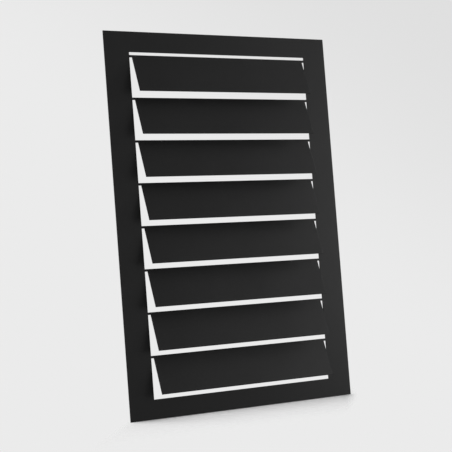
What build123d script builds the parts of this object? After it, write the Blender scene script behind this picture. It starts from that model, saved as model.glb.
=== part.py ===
from build123d import *
import os

# A louvered vent panel cut from one flat sheet. A plain border surrounds a ladder of slats. Each slat is cut
# free all round except for a tab at each end of its upper edge, and is swung out to the front by twisting
# those two tabs. The panel stands in the XZ plane, its back face on y = 0 and its front towards -Y, with the
# origin at the middle of the back face.

# Sheet and border, in millimetres
panel_width = 276.0
panel_height = 400.0
sheet_thickness = 1.0
side_margin = 28.5
top_margin = 21.6
bottom_margin = 20.2
corner_radius = 0.5

# Louvres, in millimetres and degrees
slat_count = 8
slot_width = 3.0
tab_height = 2.5
slat_tilt = 18.4

# The window holds every slat, with one slot above each slat and one more below the last
window_width = panel_width - 2 * side_margin
window_height = panel_height - top_margin - bottom_margin
window_middle = (bottom_margin - top_margin) / 2
window_top = panel_height / 2 - top_margin

# The slats share the window evenly, and a slot as wide as the others runs down both their ends
slat_pitch = (window_height - slot_width) / slat_count
slat_depth = slat_pitch - slot_width
slat_length = window_width - 2 * slot_width

# Each slat turns about a line through the middle of its two tabs, half way through the sheet
tab_line_top = window_top - slot_width - tab_height / 2
tab_lines = [(0, -sheet_thickness / 2, tab_line_top - row * slat_pitch) for row in range(slat_count)]

# One slat with its two tabs, modelled about its own tab line
with BuildPart() as louvre:
    # Slat: a flat strip, turned with its free lower edge to the front
    with BuildSketch(Plane.XZ.rotated((-slat_tilt, 0, 0))):
        with Locations((0, (tab_height - slat_depth) / 2)):
            strip = Rectangle(slat_length, slat_depth)
        fillet(strip.vertices().group_by(Axis.Y)[0], radius=corner_radius)
    extrude(amount=sheet_thickness / 2, both=True)
    # Tabs: short bars that twist from the flat of the border to the flat of the slat
    for side in (-1, 1):
        with BuildSketch(Plane.YZ.offset(side * window_width / 2)):
            Rectangle(sheet_thickness, tab_height)
        with BuildSketch(Plane.YZ.offset(side * slat_length / 2)):
            Rectangle(sheet_thickness, tab_height, rotation=-slat_tilt)
        loft(ruled=True)

# The whole panel: the border, with a slat hung on every tab line
with BuildPart() as louvered_panel:
    with BuildSketch(Plane.XZ):
        RectangleRounded(panel_width, panel_height, corner_radius)
        with Locations((0, window_middle)):
            RectangleRounded(window_width, window_height, corner_radius, mode=Mode.SUBTRACT)
    extrude(amount=sheet_thickness)
    with Locations(*tab_lines):
        add(louvre.part)
louvered_panel.part.label = "louvered_panel"

os.makedirs("parts", exist_ok=True)
export_step(louvered_panel.part, "parts/louvered_panel.step")
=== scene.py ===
"""A louvered vent panel, cut from one sheet and coated matt black, in a plain pale studio."""

import math
from types import SimpleNamespace
from typing import NamedTuple

import bmesh
import bpy
from bpy.props import FloatProperty, FloatVectorProperty, IntProperty, PointerProperty
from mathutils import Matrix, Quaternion, Vector


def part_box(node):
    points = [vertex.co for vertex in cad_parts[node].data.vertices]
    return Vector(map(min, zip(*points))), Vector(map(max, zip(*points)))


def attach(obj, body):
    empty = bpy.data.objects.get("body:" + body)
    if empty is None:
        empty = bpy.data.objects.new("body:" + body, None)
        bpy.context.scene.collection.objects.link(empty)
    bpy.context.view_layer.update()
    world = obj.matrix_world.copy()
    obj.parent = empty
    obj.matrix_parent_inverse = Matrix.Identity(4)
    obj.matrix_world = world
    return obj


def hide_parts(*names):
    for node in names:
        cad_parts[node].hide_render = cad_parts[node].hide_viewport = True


bl_info = {
    "name": "Louvered Vent Panel",
    "version": (1, 0, 0),
    "blender": (4, 5, 0),
    "location": "3D View > Sidebar > Vent Panel",
    "description": "Builds a vent panel with louvres twisted out of one coated sheet, and its studio",
    "category": "Add Mesh",
}

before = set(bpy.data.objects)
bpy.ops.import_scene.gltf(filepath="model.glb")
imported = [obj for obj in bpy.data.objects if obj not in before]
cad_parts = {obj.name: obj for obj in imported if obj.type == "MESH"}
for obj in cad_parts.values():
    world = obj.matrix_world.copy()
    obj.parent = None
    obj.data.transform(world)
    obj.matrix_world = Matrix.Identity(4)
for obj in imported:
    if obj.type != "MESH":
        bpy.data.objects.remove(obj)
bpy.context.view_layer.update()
panel_low, panel_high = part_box("louvered_panel")
panel_size = panel_high - panel_low

MM = 0.001
PIECE_NAME = "vent_panel"

# The sheet is laid from a grid with steps of 1. Each slat has three rows of points: its upper edge, the
# lower edge of its tabs and its free edge. The strips of faces between the rows are slot, tabs and slat
# in turn. The outline and the edge of the window add two rows at the top and two at the bottom
ROWS_PER_SLAT = 3
TAB_EDGE, FREE_EDGE = 1, 2
SLOT_STRIP, SLAT_STRIP = 0, 2
BORDER_ROWS = 2

# Half a step parts one row or strip of the grid from the next, and counts this near are the same
HALF_STEP = 0.5
NEAR = 0.1

# Edges of the sheet that turn by more than this are softened
SOFTENED_ANGLE = math.radians(50)

# How far the coat's fine grain, soft waves and broad drifts change its colour and its roughness. The
# grain's change of colour is painted shade in its hollows; the drifts' is the coat's own uneven tone
GRAIN_DETAIL, WAVE_DETAIL, DRIFT_DETAIL = 2.0, 1.0, 3.0
GRAIN_PAINTED_SHADE, DRIFT_SHADE = 2.4, 0.5
LEAST_SHADE = 0.1
GRAIN_GLOSS = 0.2
WAVE_ROUGHNESS, DRIFT_ROUGHNESS = 0.08, 0.14
NOISE_MEAN = 0.5

FLOOR_RADIUS = 3.0
FLOOR_SEGMENTS = 96
FLOOR_ROUGHNESS = 0.9

# The floor is seen in a band as wide as the panel, and fades out round it over these lengths. The band
# slants, as the shadow does, by this much to the left for each length ahead, and is shifted to the right
FADE_AHEAD = 190.0 * MM
FADE_BEHIND = 110.0 * MM
FADE_BESIDE = 18.0 * MM
FADE_SLANT = 0.75
FADE_SHIFT = 2.0 * MM

# The backdrop darkens along this direction, over this stretch of it, as painted shade towards its far
# upper corner
BACKDROP_DIRECTION = (0.501, -0.353, 0.795)
BACKDROP_START, BACKDROP_END = 0.0, 0.235

SENSOR_WIDTH = 36.0
ORIGIN = (0.0, 0.0, 0.0)


class Softbox(NamedTuple):
    """A lamp's size in metres, its place round the origin in degrees and metres, and what it lights"""

    width: float
    height: float
    azimuth: float
    elevation: float
    distance: float
    lights_floor: bool


SOFTBOXES = {
    "overhead": Softbox(1.05, 1.05, azimuth=-132, elevation=71, distance=1.87, lights_floor=True),
    "front": Softbox(0.42, 0.46, azimuth=47, elevation=3, distance=1.2, lights_floor=False),
    "right": Softbox(0.6, 0.6, azimuth=85, elevation=20, distance=1.2, lights_floor=False),
    "low": Softbox(0.6, 0.1, azimuth=60, elevation=-8, distance=1.0, lights_floor=False),
}


# Properties that a user would change

class VentSheetSizes(bpy.types.PropertyGroup):
    """Sizes of the sheet, the cuts through it and the twist of its slats"""

    panel_width: FloatProperty(
        name="Panel Width", description="Outer width of the sheet",
        default=panel_size.x, min=0.0, unit="LENGTH")
    panel_height: FloatProperty(
        name="Panel Height", description="Outer height of the sheet",
        default=panel_size.z, min=0.0, unit="LENGTH")
    sheet_thickness: FloatProperty(
        name="Sheet Thickness", description="Thickness of the metal",
        default=1.0 * MM, min=0.0, unit="LENGTH")
    side_margin: FloatProperty(
        name="Side Margin", description="Width of the border on the left and on the right",
        default=28.5 * MM, min=0.0, unit="LENGTH")
    top_margin: FloatProperty(
        name="Top Margin", description="Height of the border above the louvres",
        default=21.6 * MM, min=0.0, unit="LENGTH")
    bottom_margin: FloatProperty(
        name="Bottom Margin", description="Height of the border below the louvres",
        default=20.2 * MM, min=0.0, unit="LENGTH")
    slat_count: IntProperty(
        name="Slat Count", description="Number of slats, one above the other",
        default=8, min=1)
    slot_width: FloatProperty(
        name="Slot Width", description="Width of the cut round each slat",
        default=3.0 * MM, min=0.0, unit="LENGTH")
    tab_height: FloatProperty(
        name="Tab Height", description="Height of the two tabs that carry a slat at its upper corners",
        default=2.5 * MM, min=0.0, unit="LENGTH")
    tab_steps: IntProperty(
        name="Tab Steps", description="Steps in which a tab twists from the border to its slat",
        default=6, min=1)
    slat_tilt: FloatProperty(
        name="Slat Tilt", description="Angle by which a slat is swung out to the front",
        default=math.radians(18.4), subtype="ANGLE")


class VentEdgeSizes(bpy.types.PropertyGroup):
    """Rounding of the cut sheet"""

    corner_radius: FloatProperty(
        name="Corner Radius", description="Radius of the corners in the cut outline",
        default=0.5 * MM, min=0.0, unit="LENGTH")
    root_radius: FloatProperty(
        name="Root Radius", description="Radius of the cut beside the root of a tab",
        default=0.3 * MM, min=0.0, unit="LENGTH")
    corner_segments: IntProperty(
        name="Corner Segments", description="Segments round a corner of the outline",
        default=4, min=1)
    edge_radius: FloatProperty(
        name="Edge Radius", description="Rounding that the coat gives to a cut edge",
        default=0.18 * MM, min=0.0, unit="LENGTH")
    edge_segments: IntProperty(
        name="Edge Segments", description="Segments round a cut edge",
        default=3, min=1)


class VentCoatFinish(bpy.types.PropertyGroup):
    """Finish of the baked coat"""

    face_color: FloatVectorProperty(
        name="Face Color", description="Colour of the coat on the faces of the sheet",
        default=(0.0071, 0.0071, 0.0072), size=3, min=0.0, max=1.0, subtype="COLOR")
    edge_color: FloatVectorProperty(
        name="Edge Color", description="Colour of the thinner coat on the cut edges",
        default=(0.0098, 0.0098, 0.0099), size=3, min=0.0, max=1.0, subtype="COLOR")
    roughness: FloatProperty(
        name="Roughness", description="Mean roughness of the coat",
        default=0.45, min=0.0, max=1.0, subtype="FACTOR")
    specular: FloatProperty(
        name="Specular", description="Strength of the coat's mirror part",
        default=0.12, min=0.0, max=1.0, subtype="FACTOR")
    grain_size: FloatProperty(
        name="Grain Size", description="Width of the fine grain of the coat",
        default=0.5 * MM, min=0.0, unit="LENGTH")
    grain_depth: FloatProperty(
        name="Grain Depth", description="Depth of the grain and the waves together",
        default=0.05 * MM, min=0.0, unit="LENGTH")
    wave_size: FloatProperty(
        name="Wave Size", description="Width of the soft waves that the coat flows into as it bakes",
        default=2.6 * MM, min=0.0, unit="LENGTH")
    drift_size: FloatProperty(
        name="Drift Size", description="Width of the broad changes in the film of the coat",
        default=70.0 * MM, min=0.0, unit="LENGTH")


class VentStudio(bpy.types.PropertyGroup):
    """Floor, light and camera"""

    floor_color: FloatVectorProperty(
        name="Floor Color", description="Colour of the floor",
        default=(0.80, 0.80, 0.80), size=3, min=0.0, max=1.0, subtype="COLOR")
    backdrop_color: FloatVectorProperty(
        name="Backdrop Color", description="Colour of the backdrop where it is palest",
        default=(0.831, 0.831, 0.831), size=3, min=0.0, max=1.0, subtype="COLOR")
    # The backdrop's darker far upper corner is painted shade
    backdrop_painted_shade: FloatVectorProperty(
        name="Backdrop Shade", description="Colour of the backdrop in its far upper corner",
        default=(0.742, 0.742, 0.742), size=3, min=0.0, max=1.0, subtype="COLOR")
    ambient_color: FloatVectorProperty(
        name="Ambient Color", description="Light that the room sends from all sides",
        default=(0.57, 0.57, 0.57), size=3, min=0.0, max=1.0, subtype="COLOR")
    overhead_power: FloatProperty(
        name="Overhead Power", description="Power of the softbox above the panel, behind and to the left",
        default=22.0, min=0.0, unit="POWER")
    front_power: FloatProperty(
        name="Front Power", description="Power of the softbox in front of the panel, to its right",
        default=2.9, min=0.0, unit="POWER")
    right_power: FloatProperty(
        name="Right Power", description="Power of the softbox on the right",
        default=10.0, min=0.0, unit="POWER")
    low_power: FloatProperty(
        name="Low Power", description="Power of the low strip light in front of the panel, to its right",
        default=1.5, min=0.0, unit="POWER")
    camera_place: FloatVectorProperty(
        name="Camera Place", description="Where the camera stands",
        default=(-746.3 * MM, -1205.1 * MM, -76.9 * MM), size=3, subtype="XYZ", unit="LENGTH")
    camera_aim: FloatVectorProperty(
        name="Camera Aim", description="Point that the camera looks at",
        default=(-7.7 * MM, 0.0, -5.9 * MM), size=3, subtype="XYZ", unit="LENGTH")
    camera_roll: FloatProperty(
        name="Camera Roll", description="Turn of the camera about its line of sight",
        default=math.radians(-4.34), subtype="ANGLE")
    camera_lens: FloatProperty(
        name="Camera Lens", description="Focal length, in millimetres, on a sensor 36 mm wide",
        default=105.68, min=1.0)


# Building blocks for node trees

class Field:
    """An output socket that is used like a number: each operation adds the math node for it"""

    def __init__(self, socket):
        self.socket = socket

    def __add__(self, other):
        return math_field("ADD", self, other)

    def __sub__(self, other):
        return math_field("SUBTRACT", self, other)

    def __rsub__(self, other):
        return math_field("SUBTRACT", other, self)

    def __mul__(self, other):
        return math_field("MULTIPLY", self, other)

    def __truediv__(self, other):
        return math_field("DIVIDE", self, other)

    def __lt__(self, other):
        return math_field("LESS_THAN", self, other)

    def __gt__(self, other):
        return math_field("GREATER_THAN", self, other)

    def at_least(self, other):
        return math_field("MAXIMUM", self, other)

    def at_most(self, other):
        return math_field("MINIMUM", self, other)

    def is_near(self, other):
        return math_field("COMPARE", self, other, NEAR)


def feed(socket, value):
    """Links a socket to a field or to another socket, or sets its own value"""
    if isinstance(value, Field):
        value = value.socket
    if isinstance(value, bpy.types.NodeSocket):
        socket.id_data.links.new(value, socket)
    else:
        socket.default_value = value


def add_node(tree, kind, inputs=(), **settings):
    """A new node with its settings made and its inputs, given by name or by number, fed"""
    node = tree.nodes.new(kind)
    for name, value in settings.items():
        setattr(node, name, value)
    for key, value in dict(inputs).items():
        feed(node.inputs[key], value)
    return node


def math_field(operation, *values):
    """The outcome of one math node, as a field"""
    tree = next(value.socket.id_data for value in values if isinstance(value, Field))
    return Field(add_node(tree, "ShaderNodeMath", enumerate(values), operation=operation).outputs[0])


def new_group(name, kind, inputs, outputs):
    """An empty node group with these named sockets, and its input and output nodes"""
    tree = bpy.data.node_groups.new(name, kind)
    for label, socket_type in inputs:
        tree.interface.new_socket(label, in_out="INPUT", socket_type=socket_type)
    for label, socket_type in outputs:
        tree.interface.new_socket(label, in_out="OUTPUT", socket_type=socket_type)
    return tree, tree.nodes.new("NodeGroupInput"), tree.nodes.new("NodeGroupOutput")


def own_properties(group):
    """The properties that a property group's own class states, in order"""
    return [group.bl_rna.properties[name] for name in type(group).__annotations__]


def opaque(color):
    """A colour as a colour socket takes it"""
    return (*color, 1.0)


# Louvered sheet

SOCKET_TYPES = {"FLOAT": "NodeSocketFloat", "INT": "NodeSocketInt"}
CORNER_MARK = "bevel_weight_vert"


def louvered_sheet_tree(sizes, root_share):
    """A node tree that lays the middle surface of the sheet, slots cut and slats twisted, from its sizes.

    It starts from a grid with a row for each cut across the sheet and a column for each cut down it. The
    strips of faces that are cut away go first, and then each point moves to its place on the real sheet.
    Corners are marked to be rounded in full, and the roots of the tabs by root_share of that."""
    properties = own_properties(sizes)
    inputs = [(prop.name, SOCKET_TYPES[prop.type]) for prop in properties]
    inputs.append(("Coat", "NodeSocketMaterial"))
    outputs = [("Sheet", "NodeSocketGeometry")]
    tree, entry, leave = new_group("Louvered sheet", "GeometryNodeTree", inputs, outputs)
    size = SimpleNamespace(**{prop.identifier: Field(entry.outputs[prop.name]) for prop in properties})

    # Blank: on each half it has a column for the end of the slats, each step of the tabs and the outline
    columns = (size.tab_steps + 2) * 2
    slat_rows = size.slat_count * ROWS_PER_SLAT
    rows = slat_rows + BORDER_ROWS * 2
    last_row = rows - 1
    blank = add_node(tree, "GeometryNodeMeshGrid", {
        "Size X": columns - 1, "Size Y": last_row, "Vertices X": columns, "Vertices Y": rows})
    position = add_node(tree, "GeometryNodeInputPosition").outputs["Position"]
    grid_place = add_node(tree, "ShaderNodeSeparateXYZ", {0: position})
    grid_x, grid_y = Field(grid_place.outputs["X"]), Field(grid_place.outputs["Y"])
    across = math_field("ABSOLUTE", grid_x)
    down = last_row / 2 - grid_y

    # Cuts: a slot above each slat and below the last, and beside each slat below its tabs
    strip = down - (BORDER_ROWS - HALF_STEP)
    kind = math_field("FLOORED_MODULO", strip, ROWS_PER_SLAT)
    in_window_width = across < size.tab_steps + HALF_STEP
    in_window_height = (strip > -HALF_STEP) * (strip < slat_rows + HALF_STEP)
    slot_above = kind.is_near(SLOT_STRIP)
    slot_beside = kind.is_near(SLAT_STRIP) * (across > HALF_STEP)
    in_slot = in_window_width * in_window_height * slot_above.at_least(slot_beside)
    cut = add_node(tree, "GeometryNodeDeleteGeometry", {
        "Geometry": blank.outputs["Mesh"], "Selection": in_slot}, domain="FACE")

    # Places across: half a slat, then the tab, then the border
    steps_out = across - HALF_STEP
    tab_share = (steps_out / size.tab_steps).at_most(1)
    at_outline_side = (steps_out - size.tab_steps).at_least(0)
    window_width = size.panel_width - size.side_margin * 2
    slat_length = window_width - size.slot_width * 2
    reach = slat_length / 2 + size.slot_width * tab_share + size.side_margin * at_outline_side
    sheet_x = reach * math_field("SIGN", grid_x)

    # Places down: the upper edge of each slat, the lower edge of its tabs and its free edge
    window_height = size.panel_height - size.top_margin - size.bottom_margin
    pitch = (window_height - size.slot_width) / size.slat_count
    first_edge = size.panel_height / 2 - size.top_margin - size.slot_width
    slat_row = math_field("ROUND", down - BORDER_ROWS)
    louvre = math_field("FLOOR", (slat_row + NEAR) / ROWS_PER_SLAT)
    edge = slat_row - louvre * ROWS_PER_SLAT
    at_tab_edge, at_free_edge = edge.is_near(TAB_EDGE), edge.is_near(FREE_EDGE)
    drop = size.tab_height * at_tab_edge + (pitch - size.slot_width) * at_free_edge
    upper_edge = first_edge - louvre * pitch
    at_top, at_bottom = down < HALF_STEP, down > last_row - HALF_STEP
    within = 1 - at_top - at_bottom
    sheet_z = (upper_edge - drop) * within + size.panel_height / 2 * (at_top - at_bottom)

    # Twist: each slat turns about the middle line of its tabs, and the tabs take up the turn
    is_slat = (louvre > -HALF_STEP) * (louvre < size.slat_count - HALF_STEP)
    turn = size.slat_tilt * (1 - tab_share) * is_slat
    mid_depth = size.sheet_thickness / -2
    tab_middle = upper_edge - size.tab_height / 2
    flat = add_node(tree, "ShaderNodeCombineXYZ", {"X": sheet_x, "Y": mid_depth, "Z": sheet_z})
    tab_line = add_node(tree, "ShaderNodeCombineXYZ", {"Y": mid_depth, "Z": tab_middle})
    twisted = add_node(tree, "ShaderNodeVectorRotate", {
        "Vector": flat.outputs[0], "Center": tab_line.outputs[0], "Angle": turn * -1},
        rotation_type="X_AXIS")
    bent = add_node(tree, "GeometryNodeSetPosition", {
        "Geometry": cut.outputs[0], "Position": twisted.outputs[0]})

    # Rounding: corners of the outline, of the window and of each free edge, and both ends of the tabs
    at_window_side = tab_share.is_near(1) * (1 - at_outline_side)
    at_slat_end = tab_share < NEAR
    outline_corner = at_outline_side * at_top.at_least(at_bottom)
    window_corner = at_window_side * (1 - is_slat) * within
    slat_corner = at_slat_end * is_slat * at_free_edge
    corner = outline_corner.at_least(window_corner).at_least(slat_corner)
    border_root = at_window_side * is_slat * (1 - at_free_edge)
    slat_root = at_slat_end * is_slat * at_tab_edge
    mark = corner.at_least(border_root.at_least(slat_root) * root_share)
    marked = add_node(tree, "GeometryNodeStoreNamedAttribute", {
        "Geometry": bent.outputs[0], "Name": CORNER_MARK, "Value": mark},
        data_type="FLOAT", domain="POINT")

    real = add_node(tree, "GeometryNodeRealizeInstances", {0: marked.outputs[0]})
    coated = add_node(tree, "GeometryNodeSetMaterial", {
        0: real.outputs[0], "Material": entry.outputs["Coat"]})
    feed(leave.inputs["Sheet"], coated.outputs[0])
    return tree


def plain_mesh(piece, name):
    """Turns what a piece's modifiers make into its own plain mesh"""
    evaluated = piece.evaluated_get(bpy.context.evaluated_depsgraph_get())
    piece.data = bpy.data.meshes.new_from_object(evaluated)
    piece.data.name = name
    piece.modifiers.clear()


def lay_sheet(sizes, edges, coat):
    """The cut and twisted sheet as an object, still without thickness"""
    piece = bpy.data.objects.new(PIECE_NAME, bpy.data.meshes.new("blank"))
    bpy.context.scene.collection.objects.link(piece)
    tree = louvered_sheet_tree(sizes, edges.root_radius / edges.corner_radius)
    values = {prop.name: getattr(sizes, prop.identifier) for prop in own_properties(sizes)}
    values["Coat"] = coat
    modifier = piece.modifiers.new("Louvered sheet", "NODES")
    modifier.node_group = tree
    for socket in tree.interface.items_tree:
        if socket.in_out == "INPUT":
            modifier[socket.identifier] = values[socket.name]
    plain_mesh(piece, "flat_sheet")
    # The grid brings an empty material slot of its own
    piece.data.materials.pop(index=0)
    return piece


def thicken_sheet(piece, sizes, edges):
    """Rounds the corners of the outline, gives the sheet its thickness and softens the cut edges"""
    corners = piece.modifiers.new("Corners", "BEVEL")
    corners.affect = "VERTICES"
    corners.limit_method = "WEIGHT"
    corners.width = edges.corner_radius
    corners.segments = edges.corner_segments
    thickness = piece.modifiers.new("Thickness", "SOLIDIFY")
    thickness.thickness = sizes.sheet_thickness
    thickness.offset = 0.0
    thickness.use_even_offset = True
    thickness.material_offset_rim = 1
    softening = piece.modifiers.new("Softening", "BEVEL")
    softening.width = edges.edge_radius
    softening.segments = edges.edge_segments
    softening.limit_method = "ANGLE"
    softening.angle_limit = SOFTENED_ANGLE
    softening.use_clamp_overlap = False
    shading = piece.modifiers.new("Shading", "WEIGHTED_NORMAL")
    shading.keep_sharp = False
    plain_mesh(piece, PIECE_NAME)


# Coat

def coat_surface_group():
    """A node group for the surface of a baked coat: its colour with painted shade in the hollows of its
    grain, its roughness and the height of its grain
    """
    amounts = ("Roughness", "Grain Size", "Wave Size", "Drift Size")
    inputs = [("Place", "NodeSocketVector"), ("Color", "NodeSocketColor")]
    inputs += [(label, "NodeSocketFloat") for label in amounts]
    outputs = [("Color", "NodeSocketColor")]
    outputs += [(label, "NodeSocketFloat") for label in ("Roughness", "Height")]
    tree, entry, leave = new_group("Baked coat surface", "ShaderNodeTree", inputs, outputs)

    def noise(size_name, detail):
        """Noise about zero, with features of the size that an input gives"""
        scale = math_field("DIVIDE", 1, Field(entry.outputs[size_name]))
        node = add_node(tree, "ShaderNodeTexNoise", {
            "Vector": entry.outputs["Place"], "Scale": scale, "Detail": detail})
        return Field(node.outputs["Fac"]) - NOISE_MEAN

    grain = noise("Grain Size", GRAIN_DETAIL)
    wave = noise("Wave Size", WAVE_DETAIL)
    drift = noise("Drift Size", DRIFT_DETAIL)
    # Painted shade: the colour is darker in the hollows between the grains, where less light falls than
    # on their tops. The drifts add the coat's own uneven tone
    shade = (drift * DRIFT_SHADE + grain * GRAIN_PAINTED_SHADE + 1).at_least(LEAST_SHADE)
    tone_and_painted_shade = add_node(tree, "ShaderNodeVectorMath", {
        0: entry.outputs["Color"], "Scale": shade}, operation="SCALE")
    film_roughness = Field(entry.outputs["Roughness"]) + drift * DRIFT_ROUGHNESS + wave * WAVE_ROUGHNESS
    feed(leave.inputs["Color"], tone_and_painted_shade.outputs[0])
    feed(leave.inputs["Roughness"], film_roughness - grain * GRAIN_GLOSS)
    feed(leave.inputs["Height"], grain + wave + NOISE_MEAN)
    return tree


def coat_material(name, color, finish, surface):
    """Matt baked coat of one colour"""
    material = bpy.data.materials.new(name)
    material.use_nodes = True
    tree = material.node_tree
    shader = tree.nodes["Principled BSDF"]
    shader.inputs["Specular IOR Level"].default_value = finish.specular
    place = add_node(tree, "ShaderNodeTexCoord").outputs["Object"]
    coat = add_node(tree, "ShaderNodeGroup", {
        "Place": place, "Color": opaque(color), "Roughness": finish.roughness,
        "Grain Size": finish.grain_size, "Wave Size": finish.wave_size, "Drift Size": finish.drift_size},
        node_tree=surface)
    bump = add_node(tree, "ShaderNodeBump", {
        "Distance": finish.grain_depth, "Height": coat.outputs["Height"]})
    feed(shader.inputs["Base Color"], coat.outputs["Color"])
    feed(shader.inputs["Roughness"], coat.outputs["Roughness"])
    feed(shader.inputs["Normal"], bump.outputs["Normal"])
    return material


class VENT_PANEL_OT_sheet(bpy.types.Operator):
    """Build the louvered sheet with its coat, in the place of the plain solid"""

    bl_idname = "vent_panel.sheet"
    bl_label = "Build Louvered Sheet"

    def execute(self, context):
        scene = context.scene
        finish = scene.vent_coat
        surface = coat_surface_group()
        face_coat = coat_material("black_coat", finish.face_color, finish, surface)
        edge_coat = coat_material("black_coat_edge", finish.edge_color, finish, surface)
        piece = lay_sheet(scene.vent_sheet, scene.vent_edges, face_coat)
        piece.data.materials.append(edge_coat)
        thicken_sheet(piece, scene.vent_sheet, scene.vent_edges)
        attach(piece, "root")
        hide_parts("louvered_panel")
        return {"FINISHED"}


# Studio

def seen_directly(tree):
    """1 for what the camera and the reflections see, and 0 for light on its way round the room"""
    path = add_node(tree, "ShaderNodeLightPath")
    seen = Field(path.outputs["Is Camera Ray"])
    for kind in ("Is Glossy Ray", "Is Transmission Ray"):
        seen = seen.at_least(Field(path.outputs[kind]))
    return seen


def floor_material(color):
    """Matt floor that is seen to fade into the backdrop away from the panel"""
    material = bpy.data.materials.new("studio_floor")
    material.use_nodes = True
    tree = material.node_tree
    shader = tree.nodes["Principled BSDF"]
    shader.inputs["Base Color"].default_value = opaque(color)
    shader.inputs["Roughness"].default_value = FLOOR_ROUGHNESS
    shader.inputs["Specular IOR Level"].default_value = 0.0
    place = add_node(tree, "ShaderNodeTexCoord").outputs["Object"]
    axes = add_node(tree, "ShaderNodeSeparateXYZ", {0: place})
    behind = Field(axes.outputs["Y"])
    aside = Field(axes.outputs["X"]) - behind * FADE_SLANT - FADE_SHIFT
    beside = math_field("ABSOLUTE", aside) - (panel_size.x - FADE_BESIDE) / 2
    past_band = add_node(tree, "ShaderNodeCombineXYZ", {
        "X": (beside / FADE_BESIDE).at_least(0),
        "Y": (behind / FADE_BEHIND).at_least(0),
        "Z": (behind / -FADE_AHEAD).at_least(0)})
    distance = add_node(tree, "ShaderNodeVectorMath", {0: past_band.outputs[0]}, operation="LENGTH")
    fade = add_node(tree, "ShaderNodeMapRange", {
        "Value": distance.outputs["Value"]}, interpolation_type="SMOOTHSTEP")
    clear = add_node(tree, "ShaderNodeBsdfTransparent")
    mix = add_node(tree, "ShaderNodeMixShader", {
        0: Field(fade.outputs[0]) * seen_directly(tree), 1: shader.outputs[0], 2: clear.outputs[0]})
    feed(tree.nodes["Material Output"].inputs["Surface"], mix.outputs[0])
    return material


def add_floor(studio):
    """A round floor under the lower edge of the panel"""
    shape = bmesh.new()
    bmesh.ops.create_circle(shape, cap_ends=True, segments=FLOOR_SEGMENTS, radius=FLOOR_RADIUS)
    mesh = bpy.data.meshes.new("studio_floor")
    shape.to_mesh(mesh)
    shape.free()
    mesh.materials.append(floor_material(studio.floor_color))
    floor = bpy.data.objects.new("studio_floor", mesh)
    floor.location.z = panel_low.z
    # Reflections show the pale backdrop in the place of the shaded floor
    floor.visible_glossy = False
    bpy.context.scene.collection.objects.link(floor)


def light_world(studio):
    """A room that gives even light, with a pale backdrop, darker towards its far upper corner by painted
    shade, that the camera and the reflections see
    """
    world = bpy.data.worlds.new("studio_room")
    world.use_nodes = True
    bpy.context.scene.world = world
    tree = world.node_tree
    direction = add_node(tree, "ShaderNodeTexCoord").outputs["Generated"]
    along = add_node(tree, "ShaderNodeVectorMath", {
        0: direction, 1: BACKDROP_DIRECTION}, operation="DOT_PRODUCT")
    shade = add_node(tree, "ShaderNodeMapRange", {
        "Value": along.outputs["Value"], "From Min": BACKDROP_START, "From Max": BACKDROP_END},
        interpolation_type="SMOOTHSTEP")
    backdrop = add_node(tree, "ShaderNodeMix", {
        "Factor": shade.outputs[0],
        "A": opaque(studio.backdrop_color),
        "B": opaque(studio.backdrop_painted_shade)}, data_type="RGBA")
    room = add_node(tree, "ShaderNodeMix", {
        "Factor": seen_directly(tree),
        "A": opaque(studio.ambient_color),
        "B": backdrop.outputs["Result"]}, data_type="RGBA")
    feed(tree.nodes["Background"].inputs["Color"], room.outputs["Result"])


def aim(piece, place, target, roll=0.0):
    """Stands a lamp or camera at a place and points it at a target"""
    piece.location = place
    facing = (Vector(target) - Vector(place)).to_track_quat("-Z", "Y")
    piece.rotation_euler = (facing @ Quaternion((0.0, 0.0, 1.0), roll)).to_euler()


def around(azimuth, elevation, distance):
    """A place round the origin, with azimuth 0 in front of the panel and 90 on its right, in degrees"""
    turn, rise = math.radians(azimuth), math.radians(elevation)
    ahead = distance * math.cos(rise)
    return Vector((ahead * math.sin(turn), -ahead * math.cos(turn), distance * math.sin(rise)))


def add_softbox(name, softbox, power, panel):
    """A soft rectangular lamp that faces the panel, and lights it alone unless it lights the floor too"""
    light = bpy.data.lights.new(name, "AREA")
    light.shape = "RECTANGLE"
    light.size, light.size_y = softbox.width, softbox.height
    light.energy = power
    lamp = bpy.data.objects.new(name, light)
    lamp.visible_camera = False
    aim(lamp, around(softbox.azimuth, softbox.elevation, softbox.distance), ORIGIN)
    bpy.context.scene.collection.objects.link(lamp)
    if not softbox.lights_floor:
        lit = bpy.data.collections.new(name + "_lights")
        lit.objects.link(panel)
        lamp.light_linking.receiver_collection = lit


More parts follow.
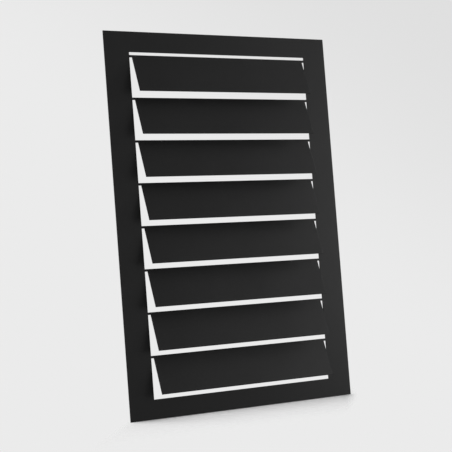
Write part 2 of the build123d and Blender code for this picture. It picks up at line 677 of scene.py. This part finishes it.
def add_camera(studio):
    """The camera, in front of the panel and to its left"""
    data = bpy.data.cameras.new("camera")
    data.sensor_width = SENSOR_WIDTH
    data.lens = studio.camera_lens
    camera = bpy.data.objects.new("camera", data)
    aim(camera, studio.camera_place, studio.camera_aim, studio.camera_roll)
    bpy.context.scene.collection.objects.link(camera)
    bpy.context.scene.camera = camera


class VENT_PANEL_OT_studio(bpy.types.Operator):
    """Build the floor, the lights and the camera"""

    bl_idname = "vent_panel.studio"
    bl_label = "Build Studio"

    def execute(self, context):
        studio = context.scene.vent_studio
        context.scene.view_settings.view_transform = "Standard"
        add_floor(studio)
        light_world(studio)
        panel = bpy.data.objects[PIECE_NAME]
        for name, softbox in SOFTBOXES.items():
            add_softbox(f"{name}_softbox", softbox, getattr(studio, f"{name}_power"), panel)
        add_camera(studio)
        return {"FINISHED"}


# Sidebar and registration

PROPERTY_GROUPS = {
    "vent_sheet": VentSheetSizes,
    "vent_edges": VentEdgeSizes,
    "vent_coat": VentCoatFinish,
    "vent_studio": VentStudio,
}


class VENT_PANEL_PT_sidebar(bpy.types.Panel):
    """The panel's sizes, finish and studio, and the operators that build them"""

    bl_idname = "VENT_PANEL_PT_sidebar"
    bl_label = "Louvered Vent Panel"
    bl_space_type = "VIEW_3D"
    bl_region_type = "UI"
    bl_category = "Vent Panel"

    def draw(self, context):
        for name in PROPERTY_GROUPS:
            group = getattr(context.scene, name)
            box = self.layout.box()
            for prop in own_properties(group):
                box.prop(group, prop.identifier)
        self.layout.operator(VENT_PANEL_OT_sheet.bl_idname)
        self.layout.operator(VENT_PANEL_OT_studio.bl_idname)


CLASSES = (*PROPERTY_GROUPS.values(), VENT_PANEL_OT_sheet, VENT_PANEL_OT_studio, VENT_PANEL_PT_sidebar)


def register():
    for entry in CLASSES:
        bpy.utils.register_class(entry)
    for name, group in PROPERTY_GROUPS.items():
        setattr(bpy.types.Scene, name, PointerProperty(type=group))


def unregister():
    for name in PROPERTY_GROUPS:
        delattr(bpy.types.Scene, name)
    for entry in reversed(CLASSES):
        bpy.utils.unregister_class(entry)


def main():
    """Builds the panel and its studio"""
    register()
    bpy.ops.vent_panel.sheet()
    bpy.ops.vent_panel.studio()


if __name__ == "__main__":
    main()
